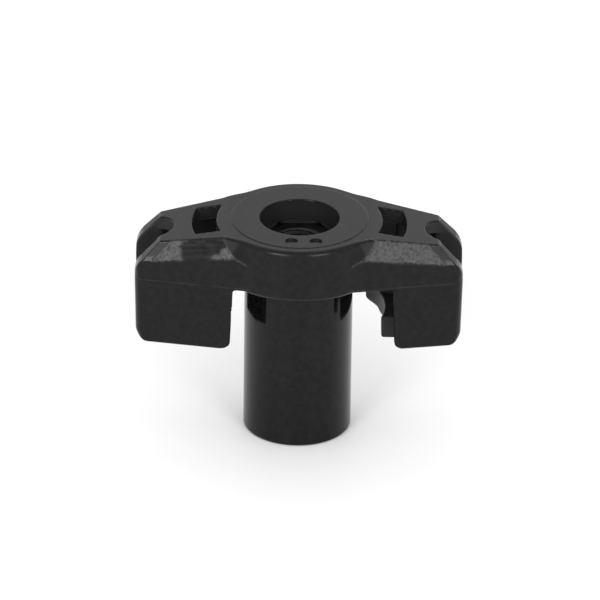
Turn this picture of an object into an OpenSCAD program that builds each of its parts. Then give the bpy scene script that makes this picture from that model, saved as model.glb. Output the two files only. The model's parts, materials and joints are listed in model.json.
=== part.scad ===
// Long-barrel wing nut: a glass-smooth plastic moulding with a steel hex nut
// moulded into its hub. The barrel hangs below the hub, two hollow wings spread
// along X, and a bayonet catch bar hangs inside each wing.
// Origin: centre of the barrel's foot. +Z runs up the thread axis, X along the wings.

/* [Overall] */
// Height from the barrel's foot to the top of the hub
total_h = 41.9; // [38:0.1:46]
// Length over both wing tips
span = 59.4; // [58:0.1:64]

/* [Barrel] */
// Outside diameter of the barrel
barrel_d = 19.7; // [19:0.1:21]
// Diameter of the clearance hole for the stud
stud_hole_d = 9; // [8.6:0.1:10]
// Depth of the countersunk lead-in at the foot
lead_in = 0.8; // [0.4:0.1:1.2]
// Radius of the barrel's outer foot edge
foot_edge_r = 0.6; // [0.3:0.1:1]

/* [Hub] */
// Outside diameter of the hub's skirt
hub_d = 29; // [28:0.1:29.6]
// Height of the hub's skirt
skirt_h = 9.9; // [9.6:0.1:10.8]
// Radius of the rounded edge round the top of the hub
hub_edge_r = 0.7; // [0.4:0.1:1.4]
// How far the hub's disc stands above the wings' top plates
disc_rise = 0.1; // [0.1:0.05:0.3]
// Diameter of the recess above the nut
recess_d = 14.46; // [14.2:0.02:14.6]
// Depth of the recess above the nut
recess_h = 4.25; // [3.5:0.05:5]

/* [Hex nut] */
// Width across the nut's flats
nut_af = 13; // [12.7:0.1:13]
// Thickness of the nut
nut_h = 6.5; // [6:0.1:6.8]
// Diameter of the threaded hole at its crests
thread_d = 6.8; // [6.6:0.05:6.9]
// Angle of the chamfer on the nut's corners
nut_chamfer = 30; // [15:1:30]

/* [Wings] */
// Half the distance between the outer walls, measured at the thread axis
wall_y = 12.4; // [12:0.02:12.8]
// Angle at which each wall closes in towards the tip
wall_taper = 10.4; // [9:0.1:11]
// Thickness of the walls
wall_t = 2.4; // [2:0.1:2.6]
// Thickness of the top plate
plate_t = 2.6; // [2:0.1:3]
// Distance from the axis where the top plate starts to slope
slope_x = 12.9; // [12.6:0.1:14]
// Slope of the top plate
plate_slope = 9.6; // [8:0.1:11]
// Distance from the axis where the end chamfer starts
chamfer_x = 25.2; // [24.5:0.1:26]
// Steepness of the end chamfer
chamfer_slope = 48; // [42:1:52]
// Height of the wings' lower edge above the foot
tab_z = 19.8; // [19:0.1:21]
// Radius of the upright edges at the wing tips
tip_r = 1.6; // [1:0.1:2]
// Radius of the tabs' lower outer corners
tab_outer_r = 2.3; // [1.5:0.1:3]
// Radius of the tabs' lower inner corners
tab_inner_r = 1.4; // [1:0.1:2]

/* [Facets] */
// Distance from the axis to the facets' plane, at the level of the wing tops
facet_y = 11.52; // [11:0.01:12]
// Angle of the facets to the length of the wings
facet_turn = 14.2; // [13:0.1:15]
// Lean of the facets from upright
facet_lean = 24.6; // [22:0.1:27]

/* [Slots, notches and catches] */
// Inner radius of the slots in the top plates
slot_in_r = 15.1; // [15:0.05:15.4]
// Outer radius of the slots, and of the gaps that let a bayonet lug in
slot_out_r = 19.4; // [19:0.05:19.8]
// Width of the slots
slot_w = 10.3; // [9:0.1:10.6]
// Width of the notches in the wing tips
notch_w = 8; // [7:0.1:8.4]
// Distance from the axis to the bottom of the notches
notch_x = 22.8; // [22.4:0.1:23.6]
// Inner radius of the catches
catch_r = 15.6; // [15.3:0.05:16]
// Thickness of the catches
catch_t = 2.8; // [2.2:0.1:3.4]
// Height of the catch bars
bar_h = 4.4; // [3.5:0.1:5]
// Distance from the wing's centre line to the free end of its catch bar
bar_end_y = 4.75; // [4.2:0.05:5]
// Radius of the lower corner at the bar's free end
bar_corner_r = 0.9; // [0.5:0.1:1.5]

/* [Hidden] */
$fn = 96;
// Radii
barrel_r = barrel_d / 2;
hub_r = hub_d / 2;
recess_r = recess_d / 2;
stud_hole_r = stud_hole_d / 2;
catch_out_r = catch_r + catch_t;
// Heights
skirt_z = total_h - skirt_h;
nut_top_z = total_h - recess_h;
nut_z = nut_top_z - nut_h;
// The hub keeps this much of the barrel below the nut, as the ledge that the nut bears on
ledge_h = 4.65;
hub_foot_z = nut_z - ledge_h;
wing_top_z = total_h - disc_rise;
// Height inside the wings' hollows from which the cuts through their top plates start
cut_z = skirt_z + 2;
// Nut
nut_corner_r = nut_af / 2 / cos(30);
nut_face_r = nut_af / 2 * 0.95;
nut_chamfer_h = (nut_corner_r - nut_face_r) * tan(nut_chamfer);
// Wing outline
tip_x = span / 2;
chamfer_z = wing_top_z - (chamfer_x - slope_x) * tan(plate_slope);
tip_z = chamfer_z - (tip_x - chamfer_x) * tan(chamfer_slope);
notch_r = notch_w / 2;
// Where each tab's inner edge meets the outside of its wall
wide_tab_x = wall_cross_x(catch_r);
narrow_tab_x = wall_cross_x(slot_out_r);
tip = [tip_x, wall_out(tip_x)];
// A margin that carries a cut past the surface it opens
over = 1;
// Longer than the whole part
big = 100;

// Y of a wall's outer face at x
function wall_out(x) = wall_y - tan(wall_taper) * x;
// Y of a wall's inner face at x
function wall_in(x) = wall_out(x) - wall_t / cos(wall_taper);
// X where a circle of radius r about the axis crosses the wall's outer face
function wall_cross_x(r) =
    wall_y * sin(wall_taper) * cos(wall_taper)
    + cos(wall_taper) * sqrt(r * r - pow(wall_y * cos(wall_taper), 2));
function unit(v) = v / norm(v);

// What rounding takes off a corner p, whose sides leave it towards a and b, with a margin outside
module corner_sliver(p, a, b, r) {
    u = unit(a - p);
    v = unit(b - p);
    half = acos(u * v) / 2;
    centre = p + unit(u + v) * r / sin(half);
    on_u = p + u * r / tan(half);
    on_v = p + v * r / tan(half);
    out_u = unit(on_u - centre) * over;
    out_v = unit(on_v - centre) * over;
    difference() {
        polygon([centre, on_u, on_u + out_u, p + out_u + out_v, on_v + out_v, on_v]);
        translate(centre) circle(r);
    }
}

// Long clearance sleeve below the hub
module barrel() {
    color("#1b1b1d")
    rotate_extrude()
        difference() {
            polygon([
                [stud_hole_r + lead_in, 0], [barrel_r, 0], [barrel_r, hub_foot_z],
                [stud_hole_r, hub_foot_z], [stud_hole_r, lead_in]
            ]);
            corner_sliver([barrel_r, 0], [0, 0], [barrel_r, hub_foot_z], foot_edge_r);
        }
}

// Round-edged column of the hub's diameter, from z_low to the top of the hub
module hub_column(z_low) {
    rotate_extrude()
        difference() {
            polygon([[0, z_low], [hub_r, z_low], [hub_r, total_h], [0, total_h]]);
            corner_sliver([hub_r, total_h], [0, total_h], [hub_r, z_low], hub_edge_r);
        }
}

// Hub with the recess, the nut's pocket and the ledge under it
module hub() {
    color("#1b1b1d")
    difference() {
        union() {
            hub_column(skirt_z);
            translate([0, 0, hub_foot_z]) cylinder(r = barrel_r, h = skirt_z - hub_foot_z + over);
        }
        translate([0, 0, nut_top_z]) cylinder(r = recess_r, h = recess_h + over);
        nut_blank();
        translate([0, 0, hub_foot_z - over]) cylinder(r = stud_hole_r, h = ledge_h + 2 * over);
    }
}

// Plain hexagon, which the hub's pocket fits
module nut_blank() {
    translate([0, 0, nut_z]) cylinder(r = nut_corner_r, h = nut_h, $fn = 6);
}

// Turned outline that takes the nut's corners off at both faces
module nut_turning() {
    rotate_extrude()
        polygon([
            [0, nut_z], [nut_face_r, nut_z], [nut_corner_r + 0.1, nut_z + nut_chamfer_h],
            [nut_corner_r + 0.1, nut_top_z - nut_chamfer_h], [nut_face_r, nut_top_z], [0, nut_top_z]
        ]);
}

// Captive steel nut; its thread is a plain hole at the crest diameter
module hex_nut() {
    color("#a8a8a4")
    difference() {
        intersection() {
            nut_blank();
            nut_turning();
        }
        translate([0, 0, nut_z - over]) cylinder(d = thread_d, h = nut_h + 2 * over);
    }
}

// Plan of a wing from the axis to the tip, with the corners at the tip rounded
module wing_plan() {
    difference() {
        polygon([[0, wall_y], tip, [tip.x, -tip.y], [0, -wall_y]]);
        tip_rounding();
        mirror([0, 1]) tip_rounding();
    }
}

// What the rounding takes off the tip's +Y corner
module tip_rounding() {
    corner_sliver(tip, [0, wall_y], [tip_x, 0], tip_r);
}

// Side view of a wing: sloping top, end chamfer and rounded lower corner
module wing_side() {
    low_tip = [tip_x, tab_z];
    difference() {
        polygon([
            [0, wing_top_z], [slope_x, wing_top_z], [chamfer_x, chamfer_z],
            [tip_x, tip_z], low_tip, [0, tab_z]
        ]);
        corner_sliver(low_tip, [tip_x, tip_z], [0, tab_z], tab_outer_r);
    }
}

// Lays a side view across the whole width of the part
module across() {
    rotate([90, 0, 0]) translate([0, 0, -big / 2]) linear_extrude(big) children();
}

// Stands a plan up through the whole height of the part
module upright() {
    translate([0, 0, tab_z - over]) linear_extrude(total_h) children();
}

// The space between the walls, up to the underside of the top plate
module wing_hollow() {
    far_x = tip_x + over;
    under_far = wing_top_z - plate_t - (far_x - slope_x) * tan(plate_slope);
    intersection() {
        upright() polygon([
            [0, -wall_in(0)], [far_x, -wall_in(far_x)], [far_x, wall_in(far_x)], [0, wall_in(0)]
        ]);
        across() polygon([
            [0, tab_z - 2 * over], [far_x, tab_z - 2 * over], [far_x, under_far],
            [slope_x, wing_top_z - plate_t], [0, wing_top_z - plate_t]
        ]);
    }
}

// Everything outside the facet's plane on the +Y side
module facet_cut() {
    translate([0, facet_y, wing_top_z])
        rotate([0, 0, -facet_turn])
            rotate([facet_lean, 0, 0])
                translate([-big / 2, 0, -big / 2])
                    cube(big);
}

// Upright opening through the top plate above the catch bar
module slot() {
    translate([0, 0, cut_z])
        linear_extrude(skirt_h)
            intersection() {
                difference() {
                    circle(slot_out_r);
                    circle(slot_in_r);
                }
                translate([0, -slot_w / 2]) square([slot_out_r + over, slot_w]);
            }
}

// Round-ended notch in the wing's tip
module notch() {
    translate([0, 0, cut_z])
        linear_extrude(skirt_h) {
            translate([notch_x + notch_r, 0]) circle(notch_r);
            translate([notch_x + notch_r, -notch_r]) square([tip_x, notch_w]);
        }
}

// Way in for a bayonet ring below the skirt: round the barrel, and further out past the
// free end of the catch bar, where a lug goes in
module bayonet_way() {
    translate([0, 0, tab_z - over])
        linear_extrude(skirt_z - tab_z + over) {
            circle(catch_r);
            intersection() {
                circle(slot_out_r);
                translate([0, -2 * slot_out_r - bar_end_y]) square(2 * slot_out_r);
            }
        }
}

// Rounds the lower inner corner of a tab whose inner edge is at tab_x
module tab_corner(tab_x) {
    side = tab_inner_r + over;
    difference() {
        translate([tab_x - over, tab_z - over]) square(side);
        translate([tab_x + tab_inner_r, tab_z + tab_inner_r]) circle(tab_inner_r);
    }
}

// The wing on the +X side, with its narrow tab in front (-Y) and its wide one behind
module wing() {
    difference() {
        intersection() {
            upright() wing_plan();
            across() wing_side();
        }
        wing_hollow();
        slot();
        notch();
        facet_cut();
        mirror([0, 1, 0]) facet_cut();
        hub_column(tab_z - over);
        bayonet_way();
        rotate([90, 0, 0]) linear_extrude(big) tab_corner(narrow_tab_x);
        rotate([90, 0, 0]) translate([0, 0, -big]) linear_extrude(big) tab_corner(wide_tab_x);
    }
}

// Ring segment from y_low to y_high that the catch is cut from
module catch_plan(y_low, y_high) {
    intersection() {
        difference() {
            circle(catch_out_r);
            circle(catch_r);
        }
        translate([0, y_low]) square([2 * catch_r, y_high - y_low]);
    }
}

// The catch of the +X wing: a web on the wide tab, and a bar that reaches out from its foot
module catch() {
    intersection() {
        wing_hollow();
        union() {
            translate([0, 0, tab_z]) linear_extrude(total_h) catch_plan(slot_w / 2, wall_y);
            bar();
        }
    }
}

// Catch bar with a rounded lower corner at its free end
module bar() {
    low_end = [-bar_end_y, tab_z];
    intersection() {
        translate([0, 0, tab_z]) linear_extrude(bar_h) catch_plan(-bar_end_y, slot_w / 2);
        rotate([90, 0, 90])
            linear_extrude(big)
                difference() {
                    polygon([low_end, [wall_y, tab_z], [wall_y, total_h], [-bar_end_y, total_h]]);
                    corner_sliver(low_end, [wall_y, tab_z], [-bar_end_y, total_h], bar_corner_r);
                }
    }
}

module right_wing() {
    color("#1b1b1d") wing();
}

module left_wing() {
    color("#1b1b1d") rotate([0, 0, 180]) wing();
}

module right_catch() {
    color("#232326") catch();
}

module left_catch() {
    color("#232326") rotate([0, 0, 180]) catch();
}

barrel();
hub();
hex_nut();
right_wing();
left_wing();
right_catch();
left_catch();
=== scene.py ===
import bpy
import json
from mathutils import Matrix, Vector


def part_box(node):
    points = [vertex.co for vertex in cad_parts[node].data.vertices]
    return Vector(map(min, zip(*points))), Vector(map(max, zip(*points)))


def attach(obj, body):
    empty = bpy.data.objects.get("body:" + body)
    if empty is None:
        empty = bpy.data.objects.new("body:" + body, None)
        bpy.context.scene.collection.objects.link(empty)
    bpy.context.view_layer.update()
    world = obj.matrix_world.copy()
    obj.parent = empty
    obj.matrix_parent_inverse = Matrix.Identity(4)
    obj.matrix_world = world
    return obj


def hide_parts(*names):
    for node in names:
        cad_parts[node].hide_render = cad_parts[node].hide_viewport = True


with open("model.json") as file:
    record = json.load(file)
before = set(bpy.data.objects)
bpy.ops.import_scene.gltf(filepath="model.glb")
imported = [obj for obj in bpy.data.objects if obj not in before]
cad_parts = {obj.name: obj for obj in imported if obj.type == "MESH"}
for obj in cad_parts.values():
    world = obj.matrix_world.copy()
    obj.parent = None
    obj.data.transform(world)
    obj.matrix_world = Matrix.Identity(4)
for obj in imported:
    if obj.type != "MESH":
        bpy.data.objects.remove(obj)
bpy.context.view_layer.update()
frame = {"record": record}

import json
import math

import bpy
import numpy as np
from mathutils import Quaternion, Vector

MM = 0.001

# ---------------------------------------------------------------- sizes, in mm


def box_mm(node):
    """Lowest and highest corners of a CAD node, in mm."""
    return [[value / MM for value in corner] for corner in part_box(node)]


def mount(name):
    """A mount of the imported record."""
    return next(m for m in frame["record"]["mounts"] if m["name"] == name)


barrel_high = box_mm("barrel")[1]
hub_high = box_mm("hub")[1]
nut_low, nut_high = box_mm("hex_nut")
wing_low, wing_high = box_mm("right_wing")
catch_low, catch_high = box_mm("right_catch")

TOP_Z = hub_high[2]
SKIRT_Z = mount("skirt_face")["pos_m"][2] / MM
HUB_R = hub_high[0]
HUB_EDGE_R = 0.85
BARREL_R = barrel_high[0]
FOOT_EDGE_R = 0.6
STUD_R = mount("stud_clearance")["dims"]["r_mm"]
LEAD_IN = 0.8
RECESS_R = mount("top_recess")["dims"]["r_mm"]
NUT_Z = nut_low[2]
NUT_TOP_Z = nut_high[2]
NUT_FLAT = nut_high[1]

TIP_X = wing_high[0]
TAB_Z = wing_low[2]
WING_TOP_Z = wing_high[2]
DISC_R = 12.4
WALL_Y = 12.4
WALL_TAPER = math.radians(10.4)
WALL_T = 2.4
WALL_DRAFT = math.radians(0.8)
END_DRAFT = math.radians(1.2)
PLATE_T = 2.6
SLOPE_X = 12.9
SLOPE = math.radians(9.6)
CHAMFER_X = 25.2
CHAMFER = math.radians(48)
SLOT_IN_R = 15.1
SLOT_OUT_R = 19.4
SLOT_HALF = 5.15
NOTCH_R = 4.0
NOTCH_X = 22.8
CATCH_OUT_R = catch_high[0]
CATCH_R = CATCH_OUT_R - 2.8
BAR_END_Y = -catch_low[1]
BAR_TOP_Z = mount("bayonet_catches")["pos_m"][2] / MM
MARK_XS = (-1.4, 3.0)
MARK_Y = -9.6
MARK_R = 1.1
MARK_DEPTH = 0.4
PARTING_Z = SKIRT_Z + 0.45
THREAD_PITCH = 1.25
THREAD_MINOR_R = 3.4
THREAD_DEPTH = 0.6
COUNTERSINK_R = 4.15
NUT_CHAMFER = math.radians(30)

# ---------------------------------------------------------------- distance fields


def round_max(a, b, r):
    """Intersection of two solids whose common edge is rounded to radius r."""
    return np.minimum(-r, np.maximum(a, b)) + np.hypot(np.maximum(r + a, 0), np.maximum(r + b, 0))


def round_min(a, b, r):
    """Union of two solids whose common corner is filleted to radius r."""
    return -round_max(-a, -b, r)


def ramp(low, high, value):
    """Smooth step from 0 at low to 1 at high."""
    t = np.clip((value - low) / (high - low), 0, 1)
    return t * t * (3 - 2 * t)


def plate_top(x):
    """Height of the wings' top plates at x."""
    return WING_TOP_Z - np.maximum(x - SLOPE_X, 0) * math.tan(SLOPE)


def wall_out(x):
    """Y of the walls' outer faces at the parting line."""
    return WALL_Y - math.tan(WALL_TAPER) * x


def facet_distance(x, y, z):
    """Outside the facet, a slightly twisted strip from an edge of the top plate down to the wall."""
    top_z, low_z = plate_top(x), SKIRT_Z + 5.95 - 0.131 * (x - SLOPE_X)
    top_y = 10.62 - 0.18 * x
    lean = (wall_out(x) - top_y) / (top_z - low_z)
    return (np.abs(y) - top_y - lean * (top_z - z)) * 0.89


def end_chamfer(x, z):
    """Outside the slanted cut over the wing's tip."""
    chamfer_z = WING_TOP_Z - (CHAMFER_X - SLOPE_X) * math.tan(SLOPE)
    return (z - chamfer_z) * math.cos(CHAMFER) + (x - CHAMFER_X) * math.sin(CHAMFER)


def outer_wall(x, y, z):
    """The walls' outer faces, which draw in slightly above and below the parting line."""
    return (np.abs(y) - wall_out(x)) * math.cos(WALL_TAPER) + np.abs(z - SKIRT_Z) * math.tan(WALL_DRAFT)


def bayonet_way(y, r, z):
    """Space for a bayonet ring and for its lugs, negative inside; it widens towards the foot."""
    draft = (SKIRT_Z - 4 - z) * math.tan(END_DRAFT)
    return np.minimum(r - CATCH_R, np.maximum(r - SLOT_OUT_R, y + BAR_END_Y)) - draft


def wing_distance(x, y, z, r):
    """The wing on the +X side, without the top of its plate."""
    chamfer = end_chamfer(x, z)
    tip = x - TIP_X + np.abs(z - SKIRT_Z) * math.tan(END_DRAFT)
    bottom = TAB_Z - z
    # side view: tab, tip and end chamfer
    way = round_min(-bayonet_way(y, r, z), SKIRT_Z - z, 0.4)
    side = round_max(bottom, way, 0.6 + 0.8 * ramp(5.0, 7.0, np.abs(y)))
    side = round_max(side, tip, 2.3)
    side = round_max(side, chamfer, 0.8)
    at_tip = ramp(-1.5, 1.5, tip - np.maximum(bottom, chamfer))
    solid = round_max(outer_wall(x, y, z), side, 0.25 + 1.35 * at_tip)
    solid = round_max(solid, facet_distance(x, y, z), 0.12)
    # hollow under the top plate, which leaves the catch standing
    under = (z - plate_top(x) + PLATE_T) * math.cos(SLOPE)
    wall = (np.abs(y) - wall_out(x)) * math.cos(WALL_TAPER) + WALL_T
    hollow = round_max(wall, under, 0.6)
    # the walls thicken at the tip until they are flush with the notch
    hollow = np.maximum(hollow, np.abs(y) - NOTCH_R - 6 * ramp(25.0, 22.0, x))
    inner_r = CATCH_R - np.clip((SKIRT_Z - z) * 2, 0, 3)
    web_or_bar = round_min(SLOT_HALF - y, z - BAR_TOP_Z, 0.5)
    catch = round_max(np.maximum(r - CATCH_OUT_R, inner_r - r), web_or_bar, 0.3)
    hollow = round_max(hollow, -catch, 0.4)
    return round_max(solid, -hollow, 0.25)


def openings(x, y, z, r):
    """Slot and notch through the top plate, negative inside."""
    above = SKIRT_Z + 2 - z
    slot = round_max(np.maximum(SLOT_IN_R - r, r - SLOT_OUT_R), np.abs(y) - SLOT_HALF, 0.3)
    notch = np.hypot(np.minimum(x - NOTCH_X - NOTCH_R, 0), y) - NOTCH_R
    return np.maximum(slot, above), np.maximum(notch, above)


def moulding_distance(p):
    """The whole plastic moulding, negative inside. The two wings match by a half turn."""
    turn = np.where(p[..., 0] < 0, -1.0, 1.0)
    x, y, z = p[..., 0] * turn, p[..., 1] * turn, p[..., 2]
    r = np.hypot(x, y)
    # hub and wing run into each other before the top is taken off both
    hub = round_max(r - HUB_R + np.maximum(z - SKIRT_Z, 0) * 0.008, SKIRT_Z - z, 0.5)
    blend_r = 0.05 + ramp(0.2, 1.2, z - SKIRT_Z) * (0.5 + 1.6 * ramp(3, 9.5, z - SKIRT_Z))
    body = round_min(hub, wing_distance(x, y, z, r), blend_r)
    top = (z - plate_top(x)) * np.where(x > SLOPE_X, math.cos(SLOPE), 1.0)
    body = round_max(body, top, 0.2 + (HUB_EDGE_R - 0.2) * (1 - ramp(9.5, 12.5, x)))
    disc = round_max(r - DISC_R, z - TOP_Z, 0.06)
    body = round_min(body, np.maximum(disc, WING_TOP_Z - 1 - z), 0.06)
    barrel = round_max(r - BARREL_R, np.maximum(-z, z - SKIRT_Z - 5), FOOT_EDGE_R)
    body = round_min(body, barrel, 0.5)
    slot, notch = openings(x, y, z, r)
    body = round_max(body, -slot, 0.22)
    body = round_max(body, -notch, 0.3)
    # two plain round dimples in the disc, in front of the recess
    for mark_x in MARK_XS:
        mark = np.hypot(p[..., 0] - mark_x, p[..., 1] - MARK_Y) - MARK_R
        body = round_max(body, -np.maximum(mark, TOP_Z - MARK_DEPTH - z), 0.08)
    recess = np.maximum(r - RECESS_R, NUT_TOP_Z - 0.05 - z)
    bore = r - STUD_R - np.maximum(LEAD_IN - z, 0)
    bore = np.maximum(bore, z - NUT_Z - 1)
    flats = np.maximum(np.abs(y), np.abs(x) * math.sin(math.pi / 3) + np.abs(y) * 0.5) - NUT_FLAT
    pocket = np.maximum(flats, NUT_Z - z)
    pocket = np.maximum(pocket, z - NUT_TOP_Z)
    body = round_max(body, -recess, 0.2)
    body = np.maximum(body, -pocket)
    return round_max(body, -bore, 0.15)


# ---------------------------------------------------------------- meshing a distance field


def gradient(field, p, step=0.004):
    """Unit normals of a distance field, and its slope there."""
    out = np.empty_like(p)
    for axis in range(3):
        shift = np.zeros(3)
        shift[axis] = step
        out[:, axis] = (field(p + shift) - field(p - shift)) / (2 * step)
    slope = np.linalg.norm(out, axis=1, keepdims=True)
    return out / np.maximum(slope, 1e-6), np.maximum(slope, 0.3)


def surface_net(field, low, high, cell):
    """Vertices and quads where the field is zero: one vertex in each cell that the surface crosses."""
    low = np.array(low) - 2.5 * cell
    counts = np.ceil((np.array(high) + 2.5 * cell - low) / cell).astype(int) + 1
    axes = [low[i] + cell * np.arange(counts[i]) for i in range(3)]
    value = np.empty(counts, dtype=np.float32)
    for i, x in enumerate(axes[0]):
        plane = np.stack(np.meshgrid([x], axes[1], axes[2], indexing="ij"), axis=-1)
        value[i] = field(plane)[0]
    inside = value < 0
    cells = counts - 1
    corner = [(i, j, k) for i in (0, 1) for j in (0, 1) for k in (0, 1)]

    def at(array, c):
        return array[c[0]:c[0] + cells[0], c[1]:c[1] + cells[1], c[2]:c[2] + cells[2]]

    filled = sum(at(inside, c).astype(np.int8) for c in corner)
    active = (filled > 0) & (filled < 8)
    number = np.full(cells, -1, dtype=np.int64)
    number[active] = np.arange(int(active.sum()))
    where = np.argwhere(active)
    total = np.zeros((len(where), 3))
    crossings = np.zeros(len(where))
    for a in corner:
        for axis in range(3):
            if a[axis]:
                continue
            b = tuple(1 if i == axis else a[i] for i in range(3))
            va, vb = at(value, a)[active], at(value, b)[active]
            crossed = (va < 0) != (vb < 0)
            t = np.where(crossed, va / np.where(crossed, va - vb, 1), 0)
            point = np.array(a, dtype=float) + t[:, None] * (np.array(b) - np.array(a))
            total[crossed] += point[crossed]
            crossings += crossed
    verts = low + cell * (where + total / crossings[:, None])

    quads = []
    for axis in range(3):
        u, v = (axis + 1) % 3, (axis + 2) % 3
        size = [counts[i] - (1 if i == axis else 2) for i in range(3)]
        start = [0 if i == axis else 1 for i in range(3)]
        window = tuple(slice(start[i], start[i] + size[i]) for i in range(3))
        beyond = tuple(slice(w.start + (i == axis), w.stop + (i == axis)) for i, w in enumerate(window))
        first, second = inside[window], inside[beyond]
        for flip, changed in ((False, first & ~second), (True, ~first & second)):
            base = np.argwhere(changed) + np.array(start)
            ring = []
            for du, dv in ((-1, -1), (0, -1), (0, 0), (-1, 0)):
                index = base.copy()
                index[:, u] += du
                index[:, v] += dv
                ring.append(number[index[:, 0], index[:, 1], index[:, 2]])
            quad = np.stack(ring, axis=1)
            quads.append(quad[:, ::-1] if flip else quad)
    return verts, np.concatenate(quads)


def field_mesh(name, field, low, high, cell):
    """Mesh object on the surface of a distance field, with the field's own normals."""
    verts, quads = surface_net(field, low, high, cell)
    for _ in range(5):
        normal, slope = gradient(field, verts)
        step = np.clip(field(verts)[:, None] / slope, -0.3 * cell, 0.3 * cell)
        verts -= normal * step
    normal, _ = gradient(field, verts)
    mesh = bpy.data.meshes.new(name)
    mesh.from_pydata((verts * MM).tolist(), [], quads.tolist())
    mesh.polygons.foreach_set("use_smooth", np.ones(len(quads), dtype=bool))
    mesh.normals_split_custom_set_from_vertices(normal.tolist())
    piece = bpy.data.objects.new(name, mesh)
    bpy.context.collection.objects.link(piece)
    return piece, verts


# ---------------------------------------------------------------- materials


class Shader:
    """Small helper round a node tree."""

    def __init__(self, name):
        self.material = bpy.data.materials.new(name)
        self.material.use_nodes = True
        self.nodes = self.material.node_tree.nodes
        self.links = self.material.node_tree.links
        self.bsdf = next(n for n in self.nodes if n.type == "BSDF_PRINCIPLED")
        self.place = self.add("ShaderNodeTexCoord").outputs["Object"]

    def add(self, kind, inputs=None, **settings):
        node = self.nodes.new(kind)
        for key, value in settings.items():
            setattr(node, key, value)
        for key, value in (inputs or {}).items():
            if isinstance(value, bpy.types.NodeSocket):
                self.links.new(value, node.inputs[key])
            else:
                node.inputs[key].default_value = value
        return node

    def noise(self, size_mm, detail=3.0, place=None):
        """Noise between 0 and 1 whose features are about size_mm across."""
        node = self.add("ShaderNodeTexNoise", {
            "Vector": place or self.place, "Scale": 1 / (size_mm * MM), "Detail": detail})
        return node.outputs["Fac"]

    def spread(self, value, low, high, to_low, to_high):
        """Maps low..high to to_low..to_high, held at the ends."""
        node = self.add("ShaderNodeMapRange", {
            "Value": value, "From Min": low, "From Max": high, "To Min": to_low, "To Max": to_high})
        return node.outputs["Result"]

    def axes(self):
        """Object coordinates in mm."""
        split = self.add("ShaderNodeSeparateXYZ", {0: self.place})
        return [self.maths("MULTIPLY", axis, 1 / MM) for axis in split.outputs]

    def attribute(self, name):
        return self.add("ShaderNodeAttribute", attribute_name=name).outputs["Fac"]

    def stretched(self, *factors):
        """Object coordinates with each axis divided by its factor."""
        return self.add("ShaderNodeVectorMath", {
            0: self.place, 1: [1 / f for f in factors]}, operation="MULTIPLY").outputs[0]

    def mix(self, factor, a, b):
        return self.add("ShaderNodeMix", {0: factor, 2: a, 3: b}).outputs[0]

    def blend(self, factor, a, b):
        """Mix of two colours."""
        return self.add("ShaderNodeMix", {0: factor, 6: a, 7: b}, data_type="RGBA").outputs[2]

    def maths(self, operation, a, b):
        return self.add("ShaderNodeMath", {0: a, 1: b}, operation=operation).outputs[0]

    def bump(self, height, distance_mm, strength=1.0, normal=None):
        inputs = {"Height": height, "Distance": distance_mm * MM, "Strength": strength}
        if normal is not None:
            inputs["Normal"] = normal
        return self.add("ShaderNodeBump", inputs).outputs["Normal"]

    def set(self, **values):
        for key, value in values.items():
            socket = self.bsdf.inputs[key.replace("_", " ")]
            if isinstance(value, bpy.types.NodeSocket):
                self.links.new(value, socket)
            else:
                socket.default_value = value


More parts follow.
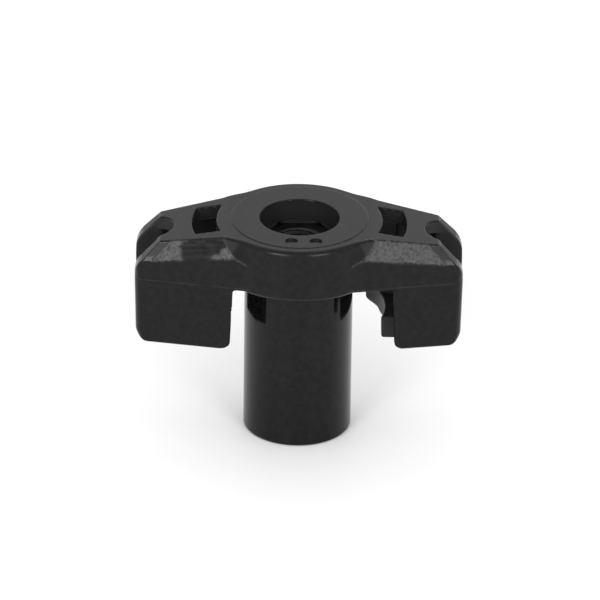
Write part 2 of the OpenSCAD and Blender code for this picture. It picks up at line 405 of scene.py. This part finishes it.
def plastic_material():
    """Smooth black moulded plastic, with worn facets and duller faces inside the wings, painted glints of
    light on the facets and a painted highlight along the parting line.
    """
    s = Shader("gloss_black_moulding")
    x, y, z = s.axes()
    facet, inner = s.attribute("facet"), s.attribute("inner")
    # gloss: cloudy on the smooth faces, dull inside the wings and on the facets
    cloud = s.noise(7.0, 4.0)
    gloss = s.spread(cloud, 0.3, 0.7, 0.09, 0.15)
    gloss = s.mix(inner, gloss, s.spread(cloud, 0.3, 0.7, 0.42, 0.52))
    up = s.spread(z, TOP_Z - 2.4, TOP_Z - 1.2, 0, 1)
    gloss = s.mix(s.maths("MULTIPLY", up, 0.6), gloss, 0.32)
    streaks = s.noise(0.5, 5.0, s.stretched(14.0, 1.0, 1.0))
    ragged = s.maths("ADD", x, s.spread(s.noise(2.2, 3.0), 0.2, 0.8, -1.6, 1.6))
    # the worn zone reaches the facet's inner end along its top edge only
    inward = s.maths("ADD", ragged, s.spread(z, SKIRT_Z + 6, SKIRT_Z + 9.5, 0.6, -3))
    worn = s.maths("MULTIPLY", s.spread(ragged, -21.2, -20.2, 0, 1), s.spread(inward, -15.4, -14.4, 1, 0))
    worn = s.maths("MULTIPLY", worn, s.spread(y, -3, -2, 1, 0))
    dull = s.mix(worn, 0.27, s.spread(streaks, 0.35, 0.65, 0.5, 0.75))
    s.set(Roughness=s.mix(facet, gloss, dull))
    # colour: tiny light specks, mottling, a painted highlight along the parting line, and painted glints
    # of light in a grainy pattern on the facets
    speck = s.add("ShaderNodeTexVoronoi", {"Vector": s.place, "Scale": 1 / (2.6 * MM)}).outputs["Distance"]
    speck = s.spread(speck, 0.02, 0.035, 1, 0)
    speck = s.maths("MULTIPLY", speck, s.spread(s.noise(11.0, 1.0), 0.5, 0.56, 0, 1))
    mottle = s.spread(s.noise(1.1, 5.0), 0.3, 0.7, 0, 1)
    black = s.blend(mottle, (0.0012, 0.0012, 0.0014, 1), (0.0052, 0.0052, 0.0056, 1))
    black = s.blend(inner, black, (0.013, 0.013, 0.013, 1))
    # painted highlight: the parting line is lightened in colour as if its crease caught the light; the
    # same mask also raises the seam's real relief
    seam_and_painted_highlight = s.maths("ABSOLUTE", s.maths("SUBTRACT", z, PARTING_Z), 0)
    seam_and_painted_highlight = s.maths("MULTIPLY", s.spread(seam_and_painted_highlight, 0.03, 0.15, 1, 0), s.maths("SUBTRACT", 1, inner))
    seam_and_painted_highlight = s.maths("MULTIPLY", seam_and_painted_highlight, s.spread(s.noise(4.0, 2.0), 0.35, 0.6, 0.15, 1))
    black = s.blend(s.maths("MULTIPLY", seam_and_painted_highlight, 0.25), black, (0.05, 0.05, 0.05, 1))
    # painted glints: a grainy pale colour on the facets stands for the light they catch, left off the worn
    # patch
    grain = s.noise(0.6, 4.0)
    painted_facet_glints = s.blend(s.spread(grain, 0.35, 0.65, 0, 1), (0.006, 0.006, 0.006, 1), (0.04, 0.04, 0.04, 1))
    black = s.blend(s.maths("MULTIPLY", facet, s.maths("SUBTRACT", 1, worn)), black, painted_facet_glints)
    s.set(Base_Color=s.blend(speck, black, (0.06, 0.06, 0.058, 1)), IOR=1.28)
    # relief: moulding waves, fine grain, parting line, and scratches on the facets
    relief = s.bump(s.noise(8.0, 1.5), 0.03, 0.35)
    relief = s.bump(s.noise(1.6, 4.0), 0.012, 0.6, relief)
    relief = s.bump(s.noise(0.22, 2.0), 0.0012, 0.5, relief)
    relief = s.bump(seam_and_painted_highlight, 0.012, 0.8, relief)
    grit = s.maths("MULTIPLY", facet, grain)
    relief = s.bump(grit, 0.09, 1.0, relief)
    scratch = s.maths("MULTIPLY", s.maths("MULTIPLY", facet, worn), streaks)
    relief = s.bump(scratch, 0.03, 0.8, relief)
    s.set(Normal=relief)
    return s.material


def steel_material():
    """Dull steel of the nut, its colour darkened overall as painted shade of the recess it sits in."""
    s = Shader("dull_steel_painted_shade")
    s.set(Metallic=1.0)
    stain = s.noise(1.3, 4.0)
    # painted shade: both steel colours are kept very dark to stand for the shade in the recess; the noise
    # between them is random staining
    steel = s.blend(stain, (0.018, 0.0175, 0.017, 1), (0.042, 0.041, 0.039, 1))
    # painted shade: the thread is painted darker the deeper it lies in the hole
    painted_thread_shade = s.spread(s.axes()[2], NUT_TOP_Z - 1.0, NUT_TOP_Z - 0.4, 0, 1)
    s.set(Base_Color=s.blend(painted_thread_shade, (0.006, 0.006, 0.006, 1), steel))
    s.set(Roughness=s.spread(s.noise(0.7, 4.0), 0.3, 0.7, 0.32, 0.5))
    s.set(Normal=s.bump(s.noise(0.2, 3.0), 0.006, 0.5))
    return s.material


# ---------------------------------------------------------------- pieces


def mark(mesh, name, values):
    """Stores one number per vertex, which a material reads."""
    mesh.attributes.new(name, "FLOAT", "POINT").data.foreach_set("value", values.astype(np.float32))


def make_moulding():
    piece, verts = field_mesh(
        "moulding", moulding_distance, [-TIP_X, -HUB_R, 0], [TIP_X, HUB_R, TOP_Z], 0.25)
    turn = np.where(verts[:, 0] < 0, -1.0, 1.0)
    x, y, z = verts[:, 0] * turn, verts[:, 1] * turn, verts[:, 2]
    r = np.hypot(x, y)
    # the facets' rough texture and their painted glints stop short of the slanted cut over the tip
    off_facet = np.abs(facet_distance(x, y, z))
    on_facet = ramp(0.12, 0.03, off_facet) * (r > HUB_R + 0.1) * (z > SKIRT_Z + 2)
    on_facet = on_facet * ramp(-1.0, -1.4, end_chamfer(x, z))
    mark(piece.data, "facet", on_facet)
    inside_wall = ramp(0.3, 0.6, wall_out(x) - np.abs(y)) * (r > HUB_R - 0.2) * (z < plate_top(x) - 0.3)
    in_notch = (np.abs(y) < NOTCH_R + 0.2) * (x > NOTCH_X - NOTCH_R) * (z < plate_top(x) - 0.3)
    in_recess = (r < RECESS_R + 0.1) * (z > NUT_TOP_Z - 0.3) * (z < TOP_Z - 0.3)
    inside = np.maximum(inside_wall * (x < TIP_X - 1.2), np.maximum(in_notch, in_recess))
    mark(piece.data, "inner", inside * (1 - on_facet))
    piece.data.materials.append(plastic_material())
    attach(piece, "root")
    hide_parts("barrel", "hub", "right_wing", "left_wing", "right_catch", "left_catch")
    return piece


def nut_distance(p):
    """Turned hex nut with its thread, negative inside."""
    x, y, z = p[..., 0], p[..., 1], p[..., 2]
    r = np.hypot(x, y)
    body = np.maximum(np.abs(y), np.abs(x) * math.sin(math.pi / 3) + np.abs(y) * 0.5) - NUT_FLAT + 0.01
    from_face = np.abs(z - (NUT_Z + NUT_TOP_Z) / 2) - (NUT_TOP_Z - NUT_Z) / 2
    body = round_max(body, from_face, 0.05)
    turned = (from_face + (r - 0.95 * NUT_FLAT) * math.tan(NUT_CHAMFER)) * math.cos(NUT_CHAMFER)
    body = round_max(body, turned, 0.08)
    # M8 coarse thread
    phase = (z / THREAD_PITCH - np.arctan2(y, x) / (2 * math.pi)) % 1.0
    groove = np.clip((1 - np.abs(2 * phase - 1) - 0.15) / 0.75, 0, 1)
    thread = (THREAD_MINOR_R + THREAD_DEPTH * groove - r) * 0.75
    countersink = (COUNTERSINK_R + from_face - r) * math.sqrt(0.5)
    return round_max(body, np.maximum(thread, countersink), 0.04)


def make_nut():
    piece, _ = field_mesh("nut", nut_distance, nut_low, nut_high, 0.1)
    piece.data.materials.append(steel_material())
    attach(piece, "root")
    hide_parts("hex_nut")


# ---------------------------------------------------------------- scene


def make_floor():
    size = 3.0
    mesh = bpy.data.meshes.new("floor")
    corners = [(-size, -size, 0), (size, -size, 0), (size, size, 0), (-size, size, 0)]
    mesh.from_pydata(corners, [], [(0, 1, 2, 3)])
    floor = bpy.data.objects.new("floor", mesh)
    bpy.context.collection.objects.link(floor)
    s = Shader("pale_floor")
    s.set(Base_Color=(0.85, 0.85, 0.85, 1.0), Roughness=0.6)
    mesh.materials.append(s.material)


CAMERA_ELEVATION = 27.3
CAMERA_ROLL = 0.8


def direction(turn, elevation):
    """Unit vector from the part, turned from the front towards +X."""
    a, e = math.radians(turn), math.radians(elevation)
    return Vector((math.sin(a) * math.cos(e), -math.cos(a) * math.cos(e), math.sin(e)))


def aim(obj, target, roll=0.0):
    turn = (target - obj.location).to_track_quat("-Z", "Y") @ Quaternion((0, 0, 1), math.radians(roll))
    obj.rotation_euler = turn.to_euler()


def make_camera():
    distance = 1.3
    frame_width = 109.2 * MM
    data = bpy.data.cameras.new("camera")
    data.sensor_width = 36
    data.lens = data.sensor_width * distance / frame_width
    camera = bpy.data.objects.new("camera", data)
    bpy.context.collection.objects.link(camera)
    target = Vector((0.28 * MM, 0.11 * MM, (TOP_Z - 16.93) * MM))
    camera.location = target + distance * direction(0, CAMERA_ELEVATION)
    aim(camera, target, CAMERA_ROLL)
    bpy.context.scene.camera = camera


def softbox(name, turn, elevation, width, height, radiance, distance=1.0):
    data = bpy.data.lights.new(name, "AREA")
    data.shape = "RECTANGLE"
    data.size = width
    data.size_y = height
    data.energy = radiance * math.pi * width * height
    light = bpy.data.objects.new(name, data)
    bpy.context.collection.objects.link(light)
    light.location = distance * direction(turn, elevation)
    aim(light, Vector((0, 0, 0.03)))


def make_lights():
    world = bpy.data.worlds.new("studio")
    world.use_nodes = True
    world.node_tree.nodes["Background"].inputs["Color"].default_value = (1, 1, 1, 1)
    world.node_tree.nodes["Background"].inputs["Strength"].default_value = 1.09
    bpy.context.scene.world = world
    softbox("left_softbox", -29, 22.5, 0.34, 0.46, 8.6)
    softbox("right_softbox", 29, 22.5, 0.34, 0.46, 7.0)


make_camera()
make_moulding()
make_nut()
make_floor()
make_lights()
bpy.context.scene.view_settings.view_transform = "Standard"
